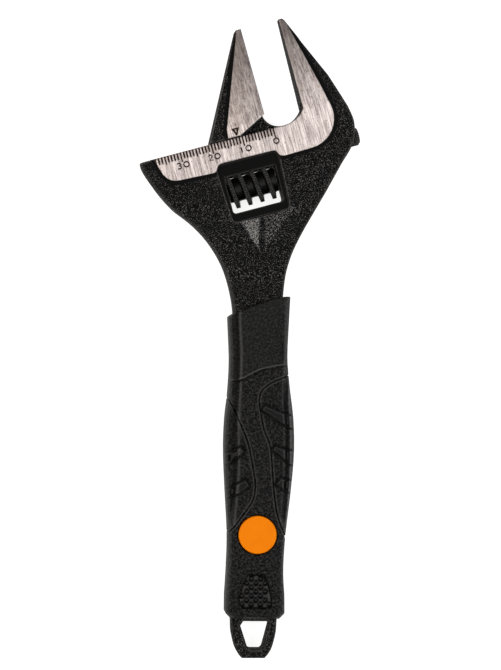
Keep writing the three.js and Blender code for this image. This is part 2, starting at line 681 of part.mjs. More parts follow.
function gripCore(panelOutlines) {
  const underPanels = gripBlock(PANEL_THICKNESS + CLEARANCE);
  const shankRoom = solid(grownSlab(shankOutline(), SHANK_HALF + CLEARANCE, CLEARANCE, 4));
  const mouthTop = MOUTH[MOUTH.length - 1][1];
  const neckHalf = FORGED_HALF * neckShrink(0, mouthTop) + CLEARANCE;
  const neckGeometry = grownSlab(forgingOutline(), neckHalf, CLEARANCE, 4).applyMatrix4(headMatrix);
  const neckRoom = solid(neckGeometry).intersect(solid(box(-FAR, FAR, NECK_END - 1, NECK_START, FAR)));
  const seats = [1, -1].map((side) => {
    const depth = side * (GRIP_HALF - BADGE_SEAT);
    const outer = side * FAR;
    return solid(disc(BADGE_RADIUS + CLEARANCE, Math.min(depth, outer), Math.max(depth, outer)));
  });
  const panelRooms = panelOutlines.map((outline) => {
    return solid(grownSlab(outline, FAR, CLEARANCE, 3)).subtract(underPanels);
  });
  const cuts = [solid(slab(aboveMouth(), FAR, 4)), shankRoom, neckRoom, ...seats, ...panelRooms];
  return cuts.reduce((core, cut) => core.subtract(cut), gripBlock(0));
}

// A disc with a rounded rim; it stands proud of the grip's surface by the given height.
function badge(proud) {
  const bottom = GRIP_HALF - BADGE_SEAT + CLEARANCE;
  const top = GRIP_HALF + proud;
  const profile = [
    [0, bottom], [BADGE_RADIUS, bottom], [BADGE_RADIUS, top - 0.4],
    [BADGE_RADIUS - 0.15, top - 0.12], [BADGE_RADIUS - 0.45, top], [0, top],
  ];
  const geometry = new THREE.LatheGeometry(vectors(profile), 36);
  return solid(geometry.rotateX(Math.PI / 2).translate(BADGE_X, BADGE_Y, 0));
}

// ---- Assembly -------------------------------------------------------------------------------

const panels = [panelOutline(RIGHT_PANEL_EDGE, 1), panelOutline(LEFT_PANEL_EDGE, -1)];

const headParts = new THREE.Group();
headParts.position.set(HEAD_X, HEAD_Y, 0);
headParts.rotation.z = HEAD_TILT;
headParts.add(
  node("movable_jaw", movableJaw(), brightSteel()),
  node("adjusting_worm", adjustingWorm(), blackSteel()),
  node("worm_pin", wormPin(), blackSteel()),
  node("worm_spring", wormSpring(), springSteel()),
);

const backBadge = node("back_badge", badge(-CLEARANCE), orangePlastic());
backBadge.rotation.y = Math.PI;
backBadge.position.x = 2 * BADGE_X;

const tool = new THREE.Group();
tool.add(
  node("wrench_body", wrenchBody(), blackSteel()),
  headParts,
  node("grip_core", gripCore(panels), gripRubber()),
  node("grip_panel_right", sidePanel(panels[0]), gripRubber()),
  node("grip_panel_left", sidePanel(panels[1]), gripRubber()),
  node("front_badge", badge(BADGE_PROUD), orangePlastic()),
  backBadge,
);

// The origin is the bottom centre of the whole tool's box.
tool.updateMatrixWorld(true);
const bounds = new THREE.Box3().setFromObject(tool, true);
const middle = bounds.getCenter(new THREE.Vector3());
tool.position.set(-middle.x, -middle.y, -bounds.min.z);

const wrench = new THREE.Group();
wrench.add(tool);

export default wrench;
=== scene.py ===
"""An adjustable wrench lying on a pale floor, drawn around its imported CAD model.

Lengths are metres in the row frame. Most places are easier to say in millimetres in one of two
frames of the tool itself, both with z from the middle plane: the handle frame (x across, y up from
the tang) and the head frame (u along the slide, v along the jaws).
"""
import json
import math
from contextlib import contextmanager

import bmesh
import bpy
import numpy as np
from mathutils import Matrix, Vector
from mathutils.bvhtree import BVHTree


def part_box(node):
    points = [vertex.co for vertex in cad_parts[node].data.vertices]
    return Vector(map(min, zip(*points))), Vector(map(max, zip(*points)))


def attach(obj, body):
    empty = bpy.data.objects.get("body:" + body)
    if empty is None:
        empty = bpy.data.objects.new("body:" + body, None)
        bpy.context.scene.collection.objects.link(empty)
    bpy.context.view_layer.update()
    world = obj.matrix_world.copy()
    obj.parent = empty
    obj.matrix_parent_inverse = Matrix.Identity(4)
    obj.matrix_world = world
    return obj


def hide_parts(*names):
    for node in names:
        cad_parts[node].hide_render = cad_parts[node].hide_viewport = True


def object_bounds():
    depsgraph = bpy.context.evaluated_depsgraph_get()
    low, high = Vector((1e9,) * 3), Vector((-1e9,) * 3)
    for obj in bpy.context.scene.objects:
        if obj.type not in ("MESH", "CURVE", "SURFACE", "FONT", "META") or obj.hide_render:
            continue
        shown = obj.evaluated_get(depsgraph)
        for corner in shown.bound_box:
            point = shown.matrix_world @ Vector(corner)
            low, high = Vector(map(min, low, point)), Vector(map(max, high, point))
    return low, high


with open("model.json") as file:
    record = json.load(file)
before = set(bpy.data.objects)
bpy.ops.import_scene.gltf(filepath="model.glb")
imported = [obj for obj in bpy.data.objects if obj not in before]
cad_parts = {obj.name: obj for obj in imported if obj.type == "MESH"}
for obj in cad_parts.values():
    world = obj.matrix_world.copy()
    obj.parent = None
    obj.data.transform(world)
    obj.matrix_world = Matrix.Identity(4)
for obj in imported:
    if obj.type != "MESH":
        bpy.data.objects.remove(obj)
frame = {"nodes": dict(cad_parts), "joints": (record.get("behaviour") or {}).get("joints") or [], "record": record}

MM = 0.001
CAD_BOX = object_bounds()

# Where the two frames lie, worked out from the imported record.
MOUNTS = {mount["name"]: mount for mount in frame["record"]["mounts"]}
SLIDE = next(joint for joint in frame["joints"] if joint["name"] == "jaw_slide")
# FACE_U and FACE_V are the place of the mount fixed_jaw_face in the head frame.
FACE_U = 10.3
FACE_V = 18.0
U_AXIS = -Vector(SLIDE["axis"]).normalized()
V_AXIS = Vector((0, 0, 1)).cross(U_AXIS)
HEAD_ORIGIN = Vector(MOUNTS["fixed_jaw_face"]["pos_m"]) - FACE_U * MM * U_AXIS - FACE_V * MM * V_AXIS
HEAD_TURN = math.atan2(U_AXIS.y, U_AXIS.x)
HEAD = Matrix.Translation(HEAD_ORIGIN) @ Matrix.Rotation(HEAD_TURN, 4, "Z")
MIDDLE_Z = HEAD_ORIGIN.z
BADGE_AT = (0.15, 38.3)
badge_low, badge_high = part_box("front_badge")
HANDLE_ORIGIN = (badge_low + badge_high) / 2 - Vector((BADGE_AT[0], BADGE_AT[1], 0)) * MM
HANDLE_ORIGIN.z = MIDDLE_Z

# Levels and lines of the head, in millimetres. RECESS gives the u and v limits of the worm's pocket,
# and the thumb hollow narrows to a point at TROUGH_END.
PAD_LEVEL = 6.6
FORGED_LEVEL = 5.8
TAPER_START = 4.0
JAW_TOP = 32.9
TIP_SCALE = 0.41
BAND_TOP = 0.3
WORM_AXIS = -15.2
WORM_RADIUS = 5.85
WORM_ROOT = 3.5
RECESS = (-21.0, -0.5, -25.4, -6.4)
TROUGH_END = HANDLE_ORIGIN + Vector((0.32, 124.7, 0)) * MM
TROUGH_SPREAD = 0.66
TROUGH_TOP = -25.2


# ---- Node trees --------------------------------------------------------------------------------

class Shader:
    """One material's node tree, with a Principled surface."""

    def __init__(self, name, **constants):
        self.material = bpy.data.materials.new(name)
        self.material.use_nodes = True
        self.tree = self.material.node_tree
        self.tree.nodes.clear()
        output = self.add("ShaderNodeOutputMaterial")
        self.surface = self.add("ShaderNodeBsdfPrincipled")
        self.tree.links.new(self.surface.outputs[0], output.inputs["Surface"])
        for socket, value in constants.items():
            self.surface.inputs[socket.replace("_", " ")].default_value = value

    def add(self, kind, inputs=None, **settings):
        node = self.tree.nodes.new(kind)
        for key, value in settings.items():
            setattr(node, key, value)
        for key, value in (inputs or {}).items():
            self.put(node.inputs[key], value)
        return node

    def put(self, socket, value):
        if isinstance(value, bpy.types.NodeSocket):
            self.tree.links.new(value, socket)
        else:
            socket.default_value = value

    def drive(self, name, value):
        self.put(self.surface.inputs[name], value)

    def object_place(self):
        return self.add("ShaderNodeTexCoord").outputs["Object"]

    def away_from(self, point):
        """Object coordinates with a point of the row frame as their origin."""
        inputs = {0: self.object_place(), 1: point}
        return self.add("ShaderNodeVectorMath", inputs, operation="SUBTRACT").outputs[0]

    def millimetres(self):
        """Object coordinates in millimetres."""
        scale = (1 / MM, 1 / MM, 1 / MM)
        return self.add("ShaderNodeMapping", {"Vector": self.object_place(), "Scale": scale}).outputs[0]

    def head_millimetres(self, stretch=(1, 1, 1)):
        """Coordinates u, v, z of the head frame in millimetres, stretched along its axes."""
        away = self.away_from(HEAD_ORIGIN)
        inputs = {"Vector": away, "Rotation": (0, 0, -HEAD_TURN)}
        turned = self.add("ShaderNodeMapping", inputs).outputs[0]
        scale = tuple(factor / MM for factor in stretch)
        return self.add("ShaderNodeMapping", {"Vector": turned, "Scale": scale}).outputs[0]

    def mix_normal(self, factor, first, second):
        node = self.add("ShaderNodeMix", data_type="VECTOR")
        for index, value in ((0, factor), (4, first), (5, second)):
            self.put(node.inputs[index], value)
        return node.outputs[1]

    def upward(self):
        """1 on faces that look up or down and 0 on the sides."""
        normal = self.add("ShaderNodeTexCoord").outputs["Normal"]
        return self.span(self.math("ABSOLUTE", self.split(normal)[2]), 0.2, 0.8)

    def split(self, vector):
        return self.add("ShaderNodeSeparateXYZ", {0: vector}).outputs

    def noise(self, vector, scale, detail=3.0, roughness=0.55):
        values = {"Vector": vector, "Scale": scale, "Detail": detail, "Roughness": roughness}
        return self.add("ShaderNodeTexNoise", values).outputs["Fac"]

    def math(self, operation, first, second=0.0):
        return self.add("ShaderNodeMath", {0: first, 1: second}, operation=operation).outputs[0]

    def span(self, value, low, high, to_low=0.0, to_high=1.0):
        """Value between low and high, smoothly stretched to another range."""
        inputs = {"Value": value, "From Min": low, "From Max": high, "To Min": to_low, "To Max": to_high}
        return self.add("ShaderNodeMapRange", inputs, interpolation_type="SMOOTHSTEP").outputs[0]

    def mix(self, factor, first, second):
        node = self.add("ShaderNodeMix", data_type="RGBA")
        for index, value in ((0, factor), (6, first), (7, second)):
            self.put(node.inputs[index], value)
        return node.outputs[2]

    def mix_number(self, factor, first, second):
        node = self.add("ShaderNodeMix", data_type="FLOAT")
        for index, value in ((0, factor), (2, first), (3, second)):
            self.put(node.inputs[index], value)
        return node.outputs[0]

    def edge(self, radius, low=0.004, high=0.04):
        """1 along edges and 0 on flat faces, and the normal with those edges rounded off."""
        soft = self.add("ShaderNodeBevel", {"Radius": radius * MM}, samples=6).outputs[0]
        flat = self.add("ShaderNodeNewGeometry").outputs["Normal"]
        agree = self.add("ShaderNodeVectorMath", {0: soft, 1: flat}, operation="DOT_PRODUCT")
        return self.span(self.math("SUBTRACT", 1.0, agree.outputs["Value"]), low, high), soft

    def bump(self, height, depth, normal=None):
        """Bump from a height of 0 to 1, which stands for depth millimetres."""
        inputs = {"Height": height, "Strength": 1.0, "Distance": depth * MM}
        if normal is not None:
            inputs["Normal"] = normal
        return self.add("ShaderNodeBump", inputs).outputs[0]


def grey(value):
    return (value, value, value, 1)


# ---- Materials ---------------------------------------------------------------------------------

# Colours of the forging's black coat and of its ground faces, among them painted glints, light and shade.
COAT = grey(0.0008)
MACHINED_COAT = grey(0.001)
GLINT_SPECK = (0.135, 0.134, 0.133, 1)
HOLLOW_LIT_SPECK = (0.4, 0.39, 0.38, 1)
EDGE_RUB_AND_HIGHLIGHT = (0.22, 0.21, 0.2, 1)
STROKE_DARK = (0.24, 0.2, 0.19, 1)
STROKE_BRIGHT = (0.7, 0.63, 0.61, 1)
DULL_STREAK = (0.26, 0.215, 0.2, 1)
DULL_CLOUD = (0.26, 0.21, 0.195, 1)
PIT = (0.09, 0.065, 0.055, 1)
PAINTED_TIP_SHADE = (0.13, 0.11, 0.105, 1)
PAINT = (0.012, 0.005, 0.003, 1)
WORN_PAINT = (0.06, 0.03, 0.02, 1)
ORANGE = (0.97, 0.235, 0.0, 1)
ORANGE_HAZE = (1.0, 0.255, 0.0, 1)
ORANGE_EDGE = (1, 0.36, 0.08, 1)

# Where the masks of the head fade in: shares of the ground level, millimetres over the middle plane,
# and millimetres across the thumb hollow, whose sides get painted light.
GROUND_SHARE = (0.975, 0.99)
MACHINED_SHARE = (0.004, 0.012)
RECESS_HEIGHT = (4.8, 5.2)
HOLLOW_RIM = 1.2
HOLLOW_MIDDLE = (0.2, 1.4)
HOLLOW_RIGHT = 0.45
HOLLOW_FADE = 0.5


def between(shader, value, low, high):
    """1 between two limits and 0 outside them."""
    over = shader.span(value, low - 0.05, low + 0.05)
    under = shader.span(value, high - 0.05, high + 0.05, 1, 0)
    return shader.math("MULTIPLY", over, under)


def head_zones(shader):
    """Masks of the ground faces and of the machined ones; the rest of the forging is blasted.

    Height over the middle plane tells them apart, as a share of a level that falls along the jaws.
    """
    place = shader.split(shader.head_millimetres())
    height = shader.math("ABSOLUTE", place[2])
    fall = (1 - TIP_SCALE) * PAD_LEVEL / (JAW_TOP - TAPER_START)
    past = shader.math("MAXIMUM", shader.math("SUBTRACT", place[1], TAPER_START), 0.0)
    level = shader.math("SUBTRACT", PAD_LEVEL, shader.math("MULTIPLY", past, fall))
    share = shader.math("DIVIDE", height, level)
    ground = shader.span(share, *GROUND_SHARE)
    forged = FORGED_LEVEL / PAD_LEVEL
    slope = shader.span(share, forged + MACHINED_SHARE[0], forged + MACHINED_SHARE[1])
    recess = between(shader, place[0], RECESS[0], RECESS[1])
    recess = shader.math("MULTIPLY", recess, between(shader, place[1], RECESS[2], RECESS[3]))
    recess = shader.math("MULTIPLY", recess, shader.span(height, *RECESS_HEIGHT, 1, 0))
    return ground, shader.math("MAXIMUM", slope, recess)


def painted_trough_light(shader):
    """How much painted light falls on the two sides of the thumb hollow, the left one more than the right one."""
    place = shader.split(shader.away_from(TROUGH_END))
    half = shader.math("MULTIPLY", place[1], TROUGH_SPREAD)
    aside = shader.math("ABSOLUTE", place[0])
    within = shader.span(shader.math("SUBTRACT", half, aside), 0.0, HOLLOW_RIM * MM)
    off_middle = shader.span(aside, HOLLOW_MIDDLE[0] * MM, HOLLOW_MIDDLE[1] * MM)
    sides = shader.math("MULTIPLY", within, off_middle)
    fainter = shader.span(place[0], -HOLLOW_FADE * MM, HOLLOW_FADE * MM, 1.0, HOLLOW_RIGHT)
    sides = shader.math("MULTIPLY", sides, fainter)
    level = shader.split(shader.head_millimetres())[1]
    below = shader.span(level, TROUGH_TOP - HOLLOW_FADE, TROUGH_TOP + HOLLOW_FADE, 1, 0)
    return shader.math("MULTIPLY", sides, below)


def black_coat(shader, blast, grain, edge_line, machined):
    """Colour of the phosphate: black with specks painted as glints, painted light on the sides of the thumb
    hollow, smooth where machined, and lighter on its edges as real rubbing and as a painted highlight.
    """
    # Painted light on the sides of the thumb hollow, which makes the painted glints there paler and more frequent.
    hollow = painted_trough_light(shader)
    blast_in_hollow_light = shader.math("ADD", blast, shader.math("MULTIPLY", hollow, 0.12))
    # Grey specks, painted as the glints of the blasted pebbles.
    glint_specks = shader.span(blast_in_hollow_light, 0.57, 0.67)
    clouds = shader.noise(shader.millimetres(), 0.07, 3)
    glint_specks = shader.math("MULTIPLY", glint_specks, shader.span(clouds, 0.35, 0.6, 0.7, 1.0))
    glint_colour = shader.mix(hollow, GLINT_SPECK, HOLLOW_LIT_SPECK)
    coat = shader.mix(glint_specks, COAT, glint_colour)
    coat = shader.mix(machined, coat, MACHINED_COAT)
    # Edges are made lighter, partly as real rubbing of the coat and partly as a painted highlight on their
    # rounding.
    rubbed_and_lit_edges = shader.math("MULTIPLY", edge_line, shader.span(grain, 0.35, 0.65, 0.25, 0.9))
    rubbed_and_lit_edges = shader.math("MULTIPLY", rubbed_and_lit_edges, shader.span(machined, 0, 1, 1, 0.4))
    return shader.mix(rubbed_and_lit_edges, coat, EDGE_RUB_AND_HIGHLIGHT)


def ground_colour(shader, strokes, along):
    """Colour of a ground face: strokes, dull streaks, clouds and pits, with a painted shade darker towards the jaw
    tips, where the tapered faces catch less light.
    """
    place = shader.millimetres()
    broad = shader.noise(along, 0.6, 2)
    pits = shader.noise(place, 2.0, 2, 0.5)
    cloud = shader.noise(place, 0.2, 3)
    bright = shader.mix(shader.span(strokes, 0.32, 0.68), STROKE_DARK, STROKE_BRIGHT)
    bright = shader.mix(shader.span(broad, 0.42, 0.75, 0, 0.4), bright, DULL_STREAK)
    bright = shader.mix(shader.span(cloud, 0.45, 0.75, 0, 0.35), bright, DULL_CLOUD)
    bright = shader.mix(shader.span(pits, 0.6, 0.7, 0, 0.75), bright, PIT)
    # Painted shade, darker towards the jaw tips where the faces taper.
    height = shader.split(shader.head_millimetres())[1]
    return shader.mix(shader.span(height, 0, JAW_TOP, 0, 0.72), bright, PAINTED_TIP_SHADE)


def forged_steel():
    """Black phosphate over a shot-blasted forging, with faces ground bright along the jaws."""
    shader = Shader("forged_steel", Specular_IOR_Level=0.09)
    edge_line, soft = shader.edge(0.6)
    ground, machined = head_zones(shader)
    blast = shader.noise(shader.millimetres(), 3.2, 1, 0.5)
    grain = shader.noise(shader.millimetres(), 3.1, 3, 0.6)
    along = shader.head_millimetres((1, 0.06, 1))
    strokes = shader.noise(along, 2.1, 4, 0.7)

    coat = black_coat(shader, blast, grain, edge_line, machined)
    shader.drive("Base Color", shader.mix(ground, coat, ground_colour(shader, strokes, along)))
    shader.drive("Metallic", ground)

    rough = shader.mix_number(shader.upward(), 0.75, shader.span(grain, 0.3, 0.7, 0.3, 0.42))
    rough = shader.mix_number(machined, rough, 0.65)
    stroked = shader.span(strokes, 0.25, 0.75, 0.26, 0.42)
    shader.drive("Roughness", shader.mix_number(ground, rough, stroked))

    skin = shader.math("MULTIPLY", blast, shader.math("SUBTRACT", 1.0, machined))
    blasted = shader.bump(skin, 0.42, soft)
    brushed = shader.bump(strokes, 0.05, soft)
    shader.drive("Normal", shader.mix_normal(ground, blasted, brushed))
    return shader.material


def smooth_black():
    """Machined steel under the same black coat, lighter on its edges, partly as rubbing and partly as painted
    glints on the knurls.
    """
    shader = Shader("smooth_black", Specular_IOR_Level=0.16)
    lines = shader.noise(shader.head_millimetres((1, 0.2, 1)), 4, 3)
    edge_line, soft = shader.edge(0.25)
    shader.drive("Normal", shader.bump(lines, 0.05, soft))
    # Edges lighter in colour: partly rubbing, partly painted glints on the knurls.
    shader.drive("Base Color", shader.mix(shader.math("MULTIPLY", edge_line, 0.7), grey(0.0015), grey(0.16)))
    shader.drive("Roughness", shader.span(lines, 0.3, 0.7, 0.28, 0.42))
    return shader.material


def engraving_paint():
    """Dark brown paint rubbed into the engraved lines."""
    shader = Shader("engraving_paint", Roughness=0.7, Specular_IOR_Level=0.1)
    worn = shader.noise(shader.millimetres(), 4, 2)
    shader.drive("Base Color", shader.mix(shader.span(worn, 0.35, 0.7), PAINT, WORN_PAINT))
    return shader.material


def moulded_grip(name, tone):
    """Charcoal moulding with a leather texture.

    Attributes say where it is smooth, and where a line carries painted light (above 0) or painted shade and dark
    joints (below 0).
    """
    shader = Shader(name, Specular_IOR_Level=0.11)
    place = shader.millimetres()
    warp = shader.add("ShaderNodeTexNoise", {"Vector": place, "Scale": 0.9, "Detail": 2.0})
    warp = warp.outputs["Color"]
    warped = shader.add("ShaderNodeVectorMath", {0: place, 1: warp}, operation="ADD").outputs[0]
    leather = shader.noise(warped, 1.5, 2, 0.5)
    ridges = shader.span(leather, 0.44, 0.62)
    grain = shader.noise(place, 3.4, 3)
    smooth = shader.add("ShaderNodeAttribute", attribute_name="smooth").outputs["Fac"]
    line = shader.add("ShaderNodeAttribute", attribute_name="line").outputs["Fac"]
    texture = shader.math("SUBTRACT", 1.0, shader.math("MULTIPLY", smooth, 0.85))
    height = shader.math("ADD", leather, shader.math("MULTIPLY", grain, 0.3))
    shader.drive("Normal", shader.bump(shader.math("MULTIPLY", height, texture), 0.5))
    # Painted light on the leather's ridges and painted shade in its pits.
    painted_ridge_light = shader.math("MULTIPLY", ridges, texture)
    skin = shader.mix(painted_ridge_light, grey(tone * 0.05), grey(tone * 1.6))
    # Painted shade and dark joints where the line attribute is below 0.
    skin = shader.mix(shader.math("MULTIPLY", line, -1.0), skin, grey(0.001))
    # Painted light where the line attribute is above 0.
    shader.drive("Base Color", shader.mix(line, skin, grey(0.12)))
    rough = shader.span(grain, 0.3, 0.7, 0.22, 0.32)
    shader.drive("Roughness", shader.mix_number(shader.upward(), 0.6, rough))
    return shader.material


def orange_plastic():
    shader = Shader("orange_plastic", Specular_IOR_Level=0.05)
    place = shader.millimetres()
    grain = shader.noise(place, 5, 2)
    haze = shader.noise(place, 0.2, 2)
    edge_line, soft = shader.edge(0.3)
    body = shader.mix(shader.span(haze, 0.3, 0.7), ORANGE, ORANGE_HAZE)
    shader.drive("Base Color", shader.mix(shader.math("MULTIPLY", edge_line, 0.6), body, ORANGE_EDGE))
    shader.drive("Roughness", shader.span(grain, 0.3, 0.7, 0.4, 0.5))
    shader.drive("Normal", shader.bump(grain, 0.01, soft))
    return shader.material


def spring_steel():
    shader = Shader("spring_steel", Metallic=1.0)
    drawn = shader.noise(shader.millimetres(), 6, 3)
    shader.drive("Base Color", shader.mix(drawn, grey(0.3), grey(0.5)))
    shader.drive("Roughness", shader.span(drawn, 0.3, 0.7, 0.25, 0.4))
    return shader.material


def floor_paint():
    """White table paint that glows faintly, as a lit studio table does."""
    shader = Shader("floor_paint", Roughness=0.9, Specular_IOR_Level=0.0)
    tone = shader.noise(shader.millimetres(), 0.004, 2)
    shader.drive("Base Color", shader.mix(tone, grey(0.5), grey(0.54)))
    shader.surface.inputs["Emission Color"].default_value = (1, 1, 1, 1)
    shader.surface.inputs["Emission Strength"].default_value = 0.85
    return shader.material


# ---- Meshes ------------------------------------------------------------------------------------

# Lengths in millimetres and angles in degrees.
SAME_POINT = 0.001
SHORT_EDGE = 0.06
FLAT_ANGLE = 0.6
CREASE_ANGLE = 32
MACHINED_SHARP = 35
MOULDED_SHARP = 60
FLAT_FACE_WEIGHT = 100


def add_object(name, mesh):
    thing = bpy.data.objects.new(name, mesh)
    bpy.context.scene.collection.objects.link(thing)
    return thing


@contextmanager
def editing(mesh):
    """An editable copy of a mesh, which is written back at the end."""
    work = bmesh.new()
    work.from_mesh(mesh)
    yield work
    work.to_mesh(mesh)
    work.free()


def join_close(work, distance):
    """Joins the points of a mesh being edited that are nearer than distance millimetres."""
    bmesh.ops.remove_doubles(work, verts=work.verts, dist=distance * MM)


def surface_tree(mesh):
    """A search tree over the faces of a mesh, which stays as it is."""
    work = bmesh.new()
    work.from_mesh(mesh)
    tree = BVHTree.FromBMesh(work)
    work.free()
    return tree


def copy_of(node, name, material):
    """A copy of a CAD node's mesh with its vertices and its flat faces joined up again."""
    thing = add_object(name, frame["nodes"][node].data.copy())
    with editing(thing.data) as work:
        join_close(work, SAME_POINT)
        flat = math.radians(FLAT_ANGLE)
        bmesh.ops.dissolve_limit(work, angle_limit=flat, verts=work.verts, edges=work.edges)
        join_close(work, SHORT_EDGE)
    thing.data.materials.clear()
    thing.data.materials.append(material)
    thing.data.polygons.foreach_set("material_index", [0] * len(thing.data.polygons))
    return thing


def bake_modifiers(thing):
    """The mesh becomes what its modifiers make of it."""
    graph = bpy.context.evaluated_depsgraph_get()
    made = bpy.data.meshes.new_from_object(thing.evaluated_get(graph), depsgraph=graph)
    thing.modifiers.clear()
    thing.data = made
    return thing


def positions(thing):
    flat = np.empty(3 * len(thing.data.vertices))
    thing.data.vertices.foreach_get("co", flat)
    return flat.reshape(-1, 3)


def move_to(thing, places):
    thing.data.vertices.foreach_set("co", places.ravel())
    thing.data.update()


def round_edges(thing, width):
    """Rounds sharp edges, then pulls back the few points that a tight corner has thrown out."""
    before = surface_tree(thing.data)
    modifier = thing.modifiers.new("round", "BEVEL")
    modifier.width = width * MM
    modifier.segments = 2
    modifier.limit_method = "ANGLE"
    modifier.angle_limit = math.radians(CREASE_ANGLE)
    modifier.use_clamp_overlap = False
    bake_modifiers(thing)
    for vertex in thing.data.vertices:
        nearest, _, _, distance = before.find_nearest(vertex.co)
        if distance > 0.5 * width * MM:
            vertex.co = nearest
    return thing


def remesh(thing, size):
    modifier = thing.modifiers.new("even", "REMESH")
    modifier.mode = "VOXEL"
    modifier.voxel_size = size * MM
    return bake_modifiers(thing)


def shade(thing, angle=MOULDED_SHARP):
    thing.data.shade_smooth()
    thing.data.set_sharp_from_angle(angle=math.radians(angle))


def shade_machined(thing):
    """Smooth shading in which large faces stay flat up to their rounded edges."""
    shade(thing, MACHINED_SHARP)
    modifier = thing.modifiers.new("flat", "WEIGHTED_NORMAL")
    modifier.keep_sharp = True
    modifier.weight = FLAT_FACE_WEIGHT
    bake_modifiers(thing)


def subtract(thing, tool):
    modifier = thing.modifiers.new("cut", "BOOLEAN")
    modifier.operation = "DIFFERENCE"
    modifier.solver = "MANIFOLD"
    modifier.object = tool
    bake_modifiers(thing)
    bpy.data.objects.remove(tool)


def finish_piece(thing, body, node):
    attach(thing, body)
    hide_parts(node)
    return thing


def keep_node(node, material):
    thing = frame["nodes"][node]
    thing.data.materials.clear()
    thing.data.materials.append(material)


# ---- Engraved marks ----------------------------------------------------------------------------

MARK_DEPTH = 0.12
TICK_WIDTH = 0.42
TICK_LENGTHS = {10: 3.1, 5: 2.7, 1: 2.2}
STROKE_WIDTH = 0.38
ZERO_U = -0.4
SCALE_LENGTH = 38
NUMBER_LEVEL = -3.75
NUMBER_PLACES = (-1.2, 1.0)
ARROW_U = -11.9
ARROW_TOP = 3.1
ARROW_HEIGHT = 1.9
ARROW_HALF = 0.8
ARROW_STROKE = 1.1


def head_vertex(work, u, v, z):
    return work.verts.new(HEAD @ Vector((u * MM, v * MM, z * MM)))


def bar(work, corners, low, high):
    """An upright prism on corners given in the head frame."""
    below = [head_vertex(work, u, v, low) for u, v in corners]
    above = [head_vertex(work, u, v, high) for u, v in corners]
    work.faces.new(below)
    work.faces.new(above)
    for i in range(len(corners)):
        work.faces.new((below[i - 1], below[i], above[i], above[i - 1]))


def tick_length(mark):
    """Length of a mark, longer at each five and each ten."""
    return next(length for step, length in TICK_LENGTHS.items() if mark % step == 0)


def scale_ticks(work, low, high):
    half = TICK_WIDTH / 2
    for mark in range(SCALE_LENGTH + 1):
        left = ZERO_U - mark - half
        right = ZERO_U - mark + half
        bottom = BAND_TOP - tick_length(mark)
        top = BAND_TOP + 1
        bar(work, [(left, bottom), (right, bottom), (right, top), (left, top)], low, high)


def stroke(work, points, low, high, ring=False, width=STROKE_WIDTH):
    """A prism along points; its rails are width apart, measured across the way past each point."""
    count = len(points)
    rails = []
    for i, point in enumerate(points):
        before = Vector(points[i - 1] if ring or i > 0 else point)
        after = Vector(points[(i + 1) % count] if ring or i < count - 1 else point)
        along = (after - before).normalized()
        aside = Vector((-along.y, along.x)) * width / 2
        corners = (Vector(point) + aside, Vector(point) - aside)
        rails.append([head_vertex(work, *corner, z) for z in (low, high) for corner in corners])
    for i in range(count if ring else count - 1):
        a = rails[i]
        b = rails[(i + 1) % count]
        for j, k in ((0, 1), (1, 3), (3, 2), (2, 0)):
            work.faces.new((a[j], a[k], b[k], b[j]))
    if not ring:
        for end in (rails[0], rails[-1]):
            work.faces.new((end[0], end[1], end[3], end[2]))


def arc(centre, radius, start, end, steps):
    angles = [math.radians(start + (end - start) * i / steps) for i in range(steps + 1)]
    return [(centre[0] + radius * math.cos(a), centre[1] + radius * math.sin(a)) for a in angles]


def digit(work, symbol, u, v, low, high):
    """A thin figure about 1.8 mm high, centred on u, v."""
    if symbol == "0":
        stroke(work, arc((u, v), 0.82, 0, 340, 17), low, high, ring=True)
    elif symbol == "1":
        stroke(work, [(u - 0.45, v + 0.45), (u, v + 0.85), (u, v - 0.85)], low, high)
    elif symbol == "2":
        hook = arc((u, v + 0.33), 0.52, 165, -35, 8)
        stroke(work, hook + [(u - 0.55, v - 0.8), (u + 0.62, v - 0.8)], low, high)
    elif symbol == "3":
        upper = arc((u - 0.1, v + 0.44), 0.46, 160, -55, 8)
        lower = arc((u - 0.1, v - 0.44), 0.5, 55, -160, 8)
        stroke(work, upper + [(u - 0.25, v)] + lower, low, high)


def scale_numbers(work, low, high):
    digit(work, "0", ZERO_U, NUMBER_LEVEL, low, high)
    for tens in (1, 2, 3):
        middle = ZERO_U - 10 * tens
        digit(work, str(tens), middle + NUMBER_PLACES[0], NUMBER_LEVEL, low, high)
        digit(work, "0", middle + NUMBER_PLACES[1], NUMBER_LEVEL, low, high)


def arrow(work, low, high):
    """A heavy triangle pointing at the scale, with a small bright island inside it."""
    left = (ARROW_U - ARROW_HALF, ARROW_TOP)
    right = (ARROW_U + ARROW_HALF, ARROW_TOP)
    tip = (ARROW_U, ARROW_TOP - ARROW_HEIGHT)
    stroke(work, [left, right, tip], low - MARK_DEPTH, high, ring=True, width=ARROW_STROKE)


def cutter(name, materials, *drawings):
    """A closed solid for each mark, whose faces carry the last of the materials into the cut."""
    work = bmesh.new()
    for drawing in drawings:
        drawing(work, PAD_LEVEL - MARK_DEPTH, PAD_LEVEL + 1)
    bmesh.ops.recalc_face_normals(work, faces=work.faces)
    mesh = bpy.data.meshes.new(name)
    work.to_mesh(mesh)
    work.free()
    for material in materials:
        mesh.materials.append(material)
    mesh.polygons.foreach_set("material_index", [len(materials) - 1] * len(mesh.polygons))
    return add_object(name, mesh)


# ---- Steel parts -------------------------------------------------------------------------------

STEEL_ROUND = 0.14


def steel_piece(node, name, body, slot, material, paint, *marks):
    """The forging or the jaw with rounded edges and engraved, painted marks."""
    thing = copy_of(node, name, material)
    thing.data.materials.append(paint)
    round_edges(thing, STEEL_ROUND)
    subtract(thing, cutter(name + "_marks", (material, paint), *marks))
    with editing(thing.data) as work:
        join_close(work, SHORT_EDGE / 2)
    shade_machined(thing)
    return finish_piece(thing, body, node)


WORM_VOXEL = 0.17
KNURLS = 44
KNURL_DEPTH = 0.45
KNURL_REACH = (0.9, 0.5)
ROOT_FILLET = (0.35, 0.24)


